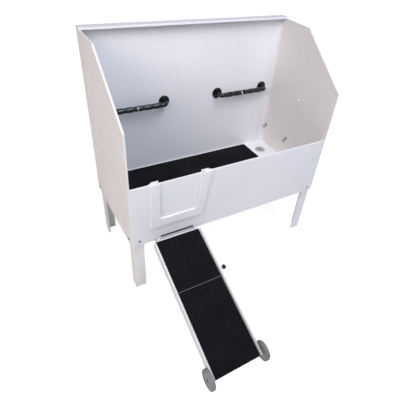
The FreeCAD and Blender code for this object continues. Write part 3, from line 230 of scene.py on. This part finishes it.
LOOKS = {
    "sheet_front": ["front_panel"],
    "sheet_inside": ["back_panel", "floor_pan", "basin_coves", "floor_bearers"],
    "sheet_side_painted_light": ["left_side_panel", "right_side_panel"],
    "sheet_door": ["door_frame", "door_keeper", "door_rail_caps", "door_gate"],
    "sheet_leg": ["front_left_leg", "front_right_leg", "rear_left_leg", "rear_right_leg"],
    "sheet_ramp": ["upper_deck", "lower_deck", "upper_left_board", "lower_left_board"],
    "sheet_ramp_painted_shade": ["upper_right_board", "lower_right_board"],
    "mat_rubber": ["floor_mat"],
    "ramp_rubber": ["upper_mat", "lower_mat"],
    "seal_rubber": ["door_seal", "drain_gasket"],
    "tyre_rubber": ["left_tyre", "right_tyre"],
    "hub_plastic": ["left_wheel_hub", "right_wheel_hub"],
    "pipe_plastic": ["drain_locknut", "drain_tailpiece"],
    "bar_black": ["left_grab_bar", "right_grab_bar", "left_bar_flanges", "right_bar_flanges"],
    "knob_black": ["plunger_knob"],
    "ring_steel": ["left_tether_ring", "right_tether_ring"],
    "brushed_steel": ["plunger_pin", "plunger_housing", "fold_pins", "upper_fold_leaves",
                      "lower_fold_leaves", "lock_plate", "head_pin", "door_frame_screws",
                      "leg_nuts"],
    "painted_lug": ["head_lugs"],
    "axle_paint": ["left_stub_axle", "right_stub_axle"],
    "drain_steel": ["drain_body", "drain_strainer"],
    "trim_aluminium": ["seam_trim"],
    "dark_bolt": ["leg_bolts", "flange_screws", "hook_screws"],
    "bracket_painted_shade": ["head_bracket"],
    "hook_grey": ["front_hose_hook", "rear_hose_hook"],
}


def dress(piece, material):
    """Gives a piece one material."""
    piece.data.materials.clear()
    piece.data.materials.append(MATERIALS[material])


def soften(piece):
    """Smooth shading everywhere but across edges sharper than 35 degrees."""
    mesh = piece.data
    mesh.polygons.foreach_set("use_smooth", [True] * len(mesh.polygons))
    mesh.set_sharp_from_angle(angle=math.radians(35))


for look, names in LOOKS.items():
    for node_name in names:
        dress(NODES[node_name], look)
        soften(NODES[node_name])


# ---------------------------------------------------------------- modelled detail

def new_piece(name, mesh_maker, material, body):
    """A new visible piece made by a function that fills a bmesh."""
    mesh = bpy.data.meshes.new(name)
    work = bmesh.new()
    mesh_maker(work)
    bmesh.ops.recalc_face_normals(work, faces=work.faces)
    work.to_mesh(mesh)
    work.free()
    piece = bpy.data.objects.new(name, mesh)
    bpy.context.scene.collection.objects.link(piece)
    dress(piece, material)
    soften(piece)
    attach(piece, body)
    return piece


def rings_to_mesh(work, rings, looped=False):
    """Joins rings of points, each with the same count, and caps the ends or joins last to first."""
    made = [[work.verts.new(point) for point in ring] for ring in rings]
    pairs = list(zip(made, made[1:]))
    if looped:
        pairs.append((made[-1], made[0]))
    for low, high in pairs:
        count = len(low)
        for index in range(count):
            after = (index + 1) % count
            work.faces.new((low[index], low[after], high[after], high[index]))
    if not looped:
        work.faces.new(made[0])
        work.faces.new(made[-1])


def across_axis(axis):
    """The unit axis and two unit directions square to it."""
    axis = Vector(axis).normalized()
    side = axis.cross(Vector((0, 0, 1)) if abs(axis.z) < 0.9 else Vector((1, 0, 0))).normalized()
    return axis, side, axis.cross(side)


def circle(centre, side, other, reach, segments):
    """Points round a centre; reach is a radius, or gives one for each angle."""
    points = []
    for index in range(segments):
        turn = 2 * math.pi * index / segments
        radius = reach(turn) if callable(reach) else reach
        points.append(centre + (side * math.cos(turn) + other * math.sin(turn)) * radius)
    return points


def lathe(work, profile, origin, axis, segments):
    """A body of revolution from a closed outline of (distance along the axis, radius) pairs."""
    axis, side, other = across_axis(axis)
    rings = [circle(Vector(origin) + axis * along, side, other, radius, segments)
             for along, radius in profile]
    rings_to_mesh(work, rings, looped=True)


def socket_screw(work, seat, outward, radius, height, shank_radius, shank_length):
    """A domed head with a hexagon socket, and its shank."""
    segments = 48
    dome_steps = 7
    dome_start, dome_width = 0.12, 0.45     # shares of the head's height and radius
    socket_width, socket_floor = 0.40, 0.35
    tip_chamfer = 0.0008
    axis, side, other = across_axis(outward)

    def ring(along, reach):
        return circle(Vector(seat) + axis * along, side, other, reach, segments)

    def hexagon(turn):
        return socket_width * radius / math.cos((turn % (math.pi / 3)) - math.pi / 6)

    rings = [ring(-shank_length, shank_radius * 0.8),
             ring(-shank_length + tip_chamfer, shank_radius), ring(0.0, shank_radius),
             ring(0.0, radius * 0.97), ring(dome_start * height, radius)]
    for step in range(1, dome_steps):
        angle = math.pi / 2 * step / dome_steps
        rings.append(ring(height * (dome_start + (1 - dome_start) * math.sin(angle)),
                          radius * (1 - dome_width + dome_width * math.cos(angle))))
    rings.append(ring(height, lambda turn: hexagon(turn) * 1.06))
    rings.append(ring(height * 0.96, hexagon))
    rings.append(ring(height * socket_floor, hexagon))
    rings_to_mesh(work, rings)


def islands(node):
    """Lowest and highest corner of each separate solid in a CAD node."""
    work = bmesh.new()
    work.from_mesh(NODES[node].data)
    bmesh.ops.remove_doubles(work, verts=work.verts, dist=1e-6)
    work.verts.ensure_lookup_table()
    seen = set()
    boxes = []
    for start in work.verts:
        if start.index in seen:
            continue
        seen.add(start.index)
        stack = [start]
        low = start.co.copy()
        high = start.co.copy()
        while stack:
            vertex = stack.pop()
            for axis in range(3):
                low[axis] = min(low[axis], vertex.co[axis])
                high[axis] = max(high[axis], vertex.co[axis])
            for edge in vertex.link_edges:
                other = edge.other_vert(vertex)
                if other.index not in seen:
                    seen.add(other.index)
                    stack.append(other)
        boxes.append((low, high))
    work.free()
    return boxes


def detailed_screws(node, name, material, outward, head_height):
    """Replaces a node of plain screws; outward gives each one's direction from its box centre."""
    def fill(work):
        for low, high in islands(node):
            centre = (low + high) / 2
            axis = Vector(outward(centre))
            along = max(range(3), key=lambda index: abs(axis[index]))
            head = max(high[i] - low[i] for i in range(3) if i != along) / 2
            tip = high[along] if axis[along] > 0 else low[along]
            seat = centre.copy()
            seat[along] = tip - axis[along] * head_height
            length = high[along] - low[along] - head_height
            socket_screw(work, seat, axis, head, head_height, head * 0.5, length)
    piece = new_piece(name, fill, material, "tub")
    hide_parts(node)


TUB_LOW, TUB_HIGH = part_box("back_panel")
FRONT_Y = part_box("front_panel")[0].y
SLOPE = math.radians(22.411287)


def leg_bolt_outward(centre):
    """Out of the nearest outer face of the tub."""
    gaps = {
        (-1, 0, 0): centre.x - TUB_LOW.x,
        (1, 0, 0): TUB_HIGH.x - centre.x,
        (0, -1, 0): centre.y - FRONT_Y,
        (0, 1, 0): TUB_HIGH.y - centre.y,
    }
    return min(gaps, key=gaps.get)


detailed_screws("leg_bolts", "leg_bolts_detailed", "dark_bolt",
                leg_bolt_outward, 0.004)
detailed_screws("flange_screws", "flange_screws_detailed", "dark_bolt",
                lambda centre: (0, -1, 0), 0.0025)
detailed_screws("door_frame_screws", "door_screws_detailed", "brushed_steel",
                lambda centre: (0, 1, 0), 0.0025)
detailed_screws("hook_screws", "hook_screws_detailed", "hook_bolt",
                lambda centre: (-1, 0, 0), 0.0016)


def arc(along, radius, reach, start, end, steps=6):
    """Points of a quarter round in (along, radius) space, angles in degrees."""
    points = []
    for step in range(steps + 1):
        angle = math.radians(start + (end - start) * step / steps)
        points.append((along + reach * math.cos(angle), radius + reach * math.sin(angle)))
    return points


WHEEL_SEGMENTS = 128


def detailed_tyre(side):
    """Tyre with shallow tread grooves, round shoulders and a ridge on each wall."""
    low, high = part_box(f"{side}_tyre")
    centre = (low + high) / 2
    half = (high.x - low.x) / 2
    outer = (high.z - low.z) / 2
    inner = outer - 0.013
    shoulder = 0.005
    wall_step = 0.0006
    groove_pitch, groove_top, groove_floor, groove_depth = 0.0045, 0.0009, 0.0005, 0.0004

    def fill_tyre(work):
        profile = [(-half, inner), (-half, inner + 0.002)]
        profile += [(-half + wall_step, inner + 0.0035), (-half + wall_step, inner + 0.0065)]
        profile += arc(-half + shoulder, outer - shoulder, shoulder, 180, 90)
        for groove in (-groove_pitch, 0.0, groove_pitch):
            profile += [(groove - groove_top, outer), (groove - groove_floor, outer - groove_depth),
                        (groove + groove_floor, outer - groove_depth), (groove + groove_top, outer)]
        profile += arc(half - shoulder, outer - shoulder, shoulder, 90, 0)
        profile += [(half - wall_step, inner + 0.0065), (half - wall_step, inner + 0.0035)]
        profile += [(half, inner + 0.002), (half, inner)]
        lathe(work, profile, centre, (1, 0, 0), WHEEL_SEGMENTS)

    tyre = new_piece(f"{side}_tyre_detailed", fill_tyre, "tyre_rubber", f"{side}_wheel")
    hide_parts(f"{side}_tyre")


def detailed_hub(side):
    """Flat disc hub with a raised boss round the axle and a fine ring near the rim."""
    low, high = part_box(f"{side}_wheel_hub")
    half = (high.x - low.x) / 2
    rim = (high.z - low.z) / 2
    bore = 0.0112
    boss = 0.0160
    face = half - 0.0008
    ring_face = face + 0.0005
    outer_side = [(half, bore), (half, boss), (face, 0.0172), (face, rim - 0.0070),
                  (ring_face, rim - 0.0062), (ring_face, rim - 0.0040),
                  (face, rim - 0.0032), (face, rim)]
    inner_side = [(-along, radius) for along, radius in outer_side]

    def fill_hub(work):
        lathe(work, outer_side + inner_side[::-1], (low + high) / 2, (1, 0, 0), WHEEL_SEGMENTS)

    hub = new_piece(f"{side}_hub_detailed", fill_hub, "hub_plastic", f"{side}_wheel")
    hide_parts(f"{side}_wheel_hub")


for wheel_side in ("left", "right"):
    detailed_tyre(wheel_side)
    detailed_hub(wheel_side)


def extrude_across(work, outline, start, end):
    """A bar along x from an outline of (y, z) points."""
    rings_to_mesh(work, [[(x, y, z) for y, z in outline] for x in (start, end)])


def slot_shade_strip(work):
    """Dark grooved strip that fills the slot, set back a little from the front face: painted shade
    for the slot's opening.
    """
    low, high = 0.4101, 0.4269
    left, right = -0.5399, -0.3111
    back, groove, ridge = 0.0115, 0.0016, 0.0006     # depths behind the front face
    outline = [(back, low), (groove, low), (ridge, low + 0.0010), (ridge, low + 0.0045),
               (groove, low + 0.0052), (groove, high - 0.0052), (ridge, high - 0.0045),
               (ridge, high - 0.0010), (groove, high), (back, high)]
    extrude_across(work, [(FRONT_Y + y, z) for y, z in outline], left, right)


new_piece("slot_shade_strip", slot_shade_strip, "painted_slot_shade", "tub")


def on_ramp(x, down, out):
    """A row-frame point from its distance down the ramp's slope and out from it."""
    return Vector((x, -down * math.cos(SLOPE) - out * math.sin(SLOPE),
                   -down * math.sin(SLOPE) + out * math.cos(SLOPE)))


def seam_lip(work):
    """Rubber lip that closes the gap between the two decks from the upper one."""
    left, right = -0.5798, -0.2762
    under, rounded, crown = 0.1381, 0.1390, 0.1394     # heights out from the slope's line
    outline = [(under, 0.3160), (rounded, 0.3160), (crown, 0.3168), (crown, 0.3262),
               (rounded, 0.3270), (under, 0.3270)]
    rings_to_mesh(work, [[on_ramp(x, down, out) for down, out in outline]
                         for x in (left, right)])


new_piece("seam_lip", seam_lip, "seal_rubber", "ramp_upper")


# ---------------------------------------------------------------- camera

CAMERA_PLACE = (-1.1824, -1.4358, 2.0251)
CAMERA_HEADING = math.radians(33.3160)      # from +y towards +x
CAMERA_DIP = math.radians(38.2041)
CAMERA_ROLL = math.radians(5.4554)
SENSOR_WIDTH = 36
FOCAL_LENGTH = 32.382
LENS_SHIFT = (-0.0283, -0.0019)


def place_camera():
    """The camera from its position, heading, dip, roll, focal length and principal point."""
    data = bpy.data.cameras.new("photo_camera")
    camera = bpy.data.objects.new("photo_camera", data)
    bpy.context.scene.collection.objects.link(camera)
    forward = Vector((math.sin(CAMERA_HEADING) * math.cos(CAMERA_DIP),
                      math.cos(CAMERA_HEADING) * math.cos(CAMERA_DIP), -math.sin(CAMERA_DIP)))
    right = forward.cross(Vector((0, 0, 1))).normalized()
    up = right.cross(forward)
    rolled_right = math.cos(CAMERA_ROLL) * right + math.sin(CAMERA_ROLL) * up
    rolled_up = math.cos(CAMERA_ROLL) * up - math.sin(CAMERA_ROLL) * right
    turn = Matrix((rolled_right, rolled_up, -forward)).transposed().to_4x4()
    camera.matrix_world = Matrix.Translation(CAMERA_PLACE) @ turn
    data.sensor_width = SENSOR_WIDTH
    data.lens = FOCAL_LENGTH
    data.shift_x, data.shift_y = LENS_SHIFT
    data.clip_end = 50
    bpy.context.scene.camera = camera


place_camera()


# ---------------------------------------------------------------- studio

GLOW_REACH = (1.3, 2.7)         # metres from the object's centre
GLOW_STRENGTH = (0.80, 1.0)
SHADOWED_GREY = (0.55, 0.55, 0.55, 1)
FLOOR_SIZE = 60
FLOOR_DROP = 0.0005
WORLD_TINT = (0.75, 0.79, 1.0, 1)
WORLD_STRENGTH = 0.12


def seen_ray(tree, *kinds):
    """1 for rays of the named kinds, and 0 for all others."""
    path = tree.nodes.new("ShaderNodeLightPath")
    seen = path.outputs[kinds[0]]
    for kind in kinds[1:]:
        either = tree.nodes.new("ShaderNodeMath")
        either.operation = "MAXIMUM"
        tree.links.new(seen, either.inputs[0])
        tree.links.new(path.outputs[kind], either.inputs[1])
        seen = either.outputs[0]
    return seen


def mixed(tree, factor, first, second):
    """The first shader where the factor is 0, and the second where it is 1."""
    mix = tree.nodes.new("ShaderNodeMixShader")
    tree.links.new(factor, mix.inputs["Fac"])
    tree.links.new(first, mix.inputs[1])
    tree.links.new(second, mix.inputs[2])
    return mix.outputs[0]


def glow_by_distance(tree):
    """Emission that rises with the distance from the object's centre."""
    place = tree.nodes.new("ShaderNodeTexCoord")
    distance = tree.nodes.new("ShaderNodeVectorMath")
    distance.operation = "LENGTH"
    tree.links.new(place.outputs["Object"], distance.inputs[0])
    rise = tree.nodes.new("ShaderNodeMapRange")
    rise.inputs["From Min"].default_value, rise.inputs["From Max"].default_value = GLOW_REACH
    rise.inputs["To Min"].default_value, rise.inputs["To Max"].default_value = GLOW_STRENGTH
    tree.links.new(distance.outputs["Value"], rise.inputs["Value"])
    emission = tree.nodes.new("ShaderNodeEmission")
    tree.links.new(rise.outputs["Result"], emission.inputs["Strength"])
    return emission.outputs[0]


def studio_floor():
    """Pale floor that is near-white to the camera and keeps a soft shadow."""
    material = new_material("studio_floor", (0.9, 0.9, 0.9), 0.9, specular=0.1)
    tree = material.node_tree
    shadowed = tree.nodes.new("ShaderNodeBsdfDiffuse")
    shadowed.inputs["Color"].default_value = SHADOWED_GREY
    add = tree.nodes.new("ShaderNodeAddShader")
    tree.links.new(shadowed.outputs[0], add.inputs[0])
    tree.links.new(glow_by_distance(tree), add.inputs[1])
    seen = seen_ray(tree, "Is Camera Ray", "Is Glossy Ray", "Is Transmission Ray")
    surface = mixed(tree, seen, tree.nodes["Principled BSDF"].outputs[0], add.outputs[0])
    tree.links.new(surface, tree.nodes["Material Output"].inputs["Surface"])
    bpy.ops.mesh.primitive_plane_add(size=FLOOR_SIZE, location=(0, 0, -FLOOR_DROP))
    floor = bpy.context.object
    floor.name = "studio_floor"
    floor.data.materials.append(material)


def studio_world():
    """Even pale surroundings; the rays that see them directly get white."""
    world = bpy.data.worlds.new("studio_world")
    bpy.context.scene.world = world
    world.use_nodes = True
    tree = world.node_tree
    tinted = tree.nodes["Background"]
    tinted.inputs["Color"].default_value = WORLD_TINT
    tinted.inputs["Strength"].default_value = WORLD_STRENGTH
    white = tree.nodes.new("ShaderNodeBackground")
    white.inputs["Color"].default_value = (1, 1, 1, 1)
    white.inputs["Strength"].default_value = 1.0
    seen = seen_ray(tree, "Is Camera Ray", "Is Transmission Ray")
    surface = mixed(tree, seen, tinted.outputs[0], white.outputs[0])
    tree.links.new(surface, tree.nodes["World Output"].inputs["Surface"])


def area_light(name, place, target, size, power, colour):
    """A round soft lamp at a place, facing a target."""
    data = bpy.data.lights.new(name, "AREA")
    data.shape = "DISK"
    data.size = size
    data.energy = power
    data.color = colour
    light = bpy.data.objects.new(name, data)
    bpy.context.scene.collection.objects.link(light)
    light.location = place
    direction = Vector(target) - Vector(place)
    light.rotation_euler = direction.to_track_quat("-Z", "Y").to_euler()


studio_floor()
studio_world()
area_light("front", (0.7, -3.3, 3.5), (0, 0.2, 0.7), 2.4, 49, (0.72, 0.82, 1.0))
area_light("left", (-3.4, -1.5, 3.1), (0.2, 0.3, 0.7), 2.2, 91, (1.0, 0.865, 0.78))
area_light("above", (0.5, -0.75, 3.6), (0.3, 0.5, 0.6), 1.8, 58, (0.83, 0.865, 1.0))
area_light("left_high", (-1.6, -2.2, 4.2), (0.5, 0.3, 0.6), 2.6, 34, (0.94, 0.95, 1.0))
area_light("back", (1.0, 4.0, 0.7), (0, 0.5, 0.7), 1.4, 28, (0.93, 0.95, 1.0))
bpy.context.scene.view_settings.view_transform = "Standard"
